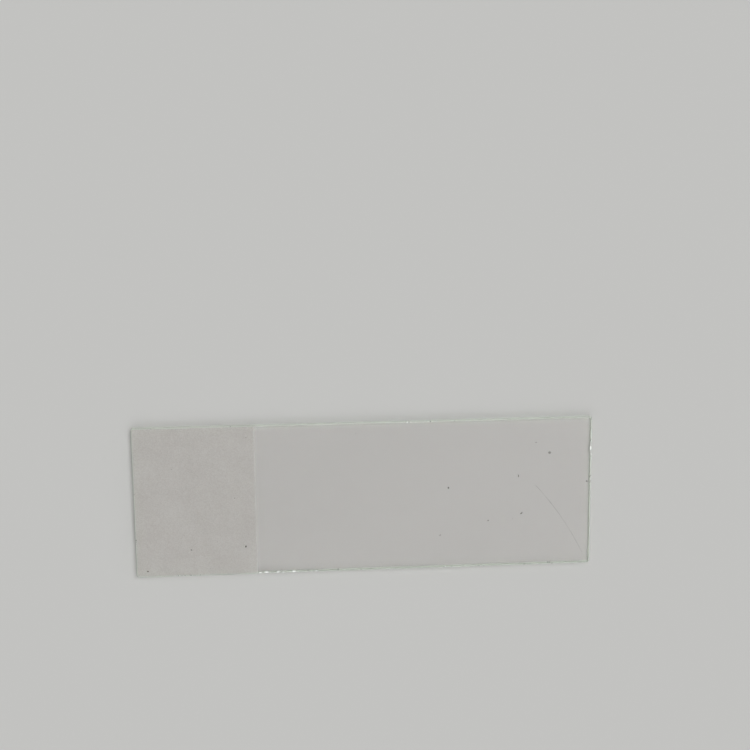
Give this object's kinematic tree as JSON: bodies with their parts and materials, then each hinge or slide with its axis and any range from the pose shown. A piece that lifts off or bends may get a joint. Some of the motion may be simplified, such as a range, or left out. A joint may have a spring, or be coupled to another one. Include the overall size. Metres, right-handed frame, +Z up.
{
  "type": "microscope slide",
  "caption": "Flat rectangular pane of clear glass with ground edges and one frosted end for marking, chipped a little along one long edge.",
  "frame": {"origin": "middle of the plain face that the slide lies on", "axes": "+X along the slide's long side towards the clear end, the frosted end towards -X; +Y across it; +Z up through its thickness, out of the frosted face"},
  "size_m": [0.0762, 0.0254, 0.0011],
  "materials": {
    "clear_glass": "polished"
  },
  "bodies": {
    "root": {"glass_slide": "clear_glass"}
  },
  "joints": []
}
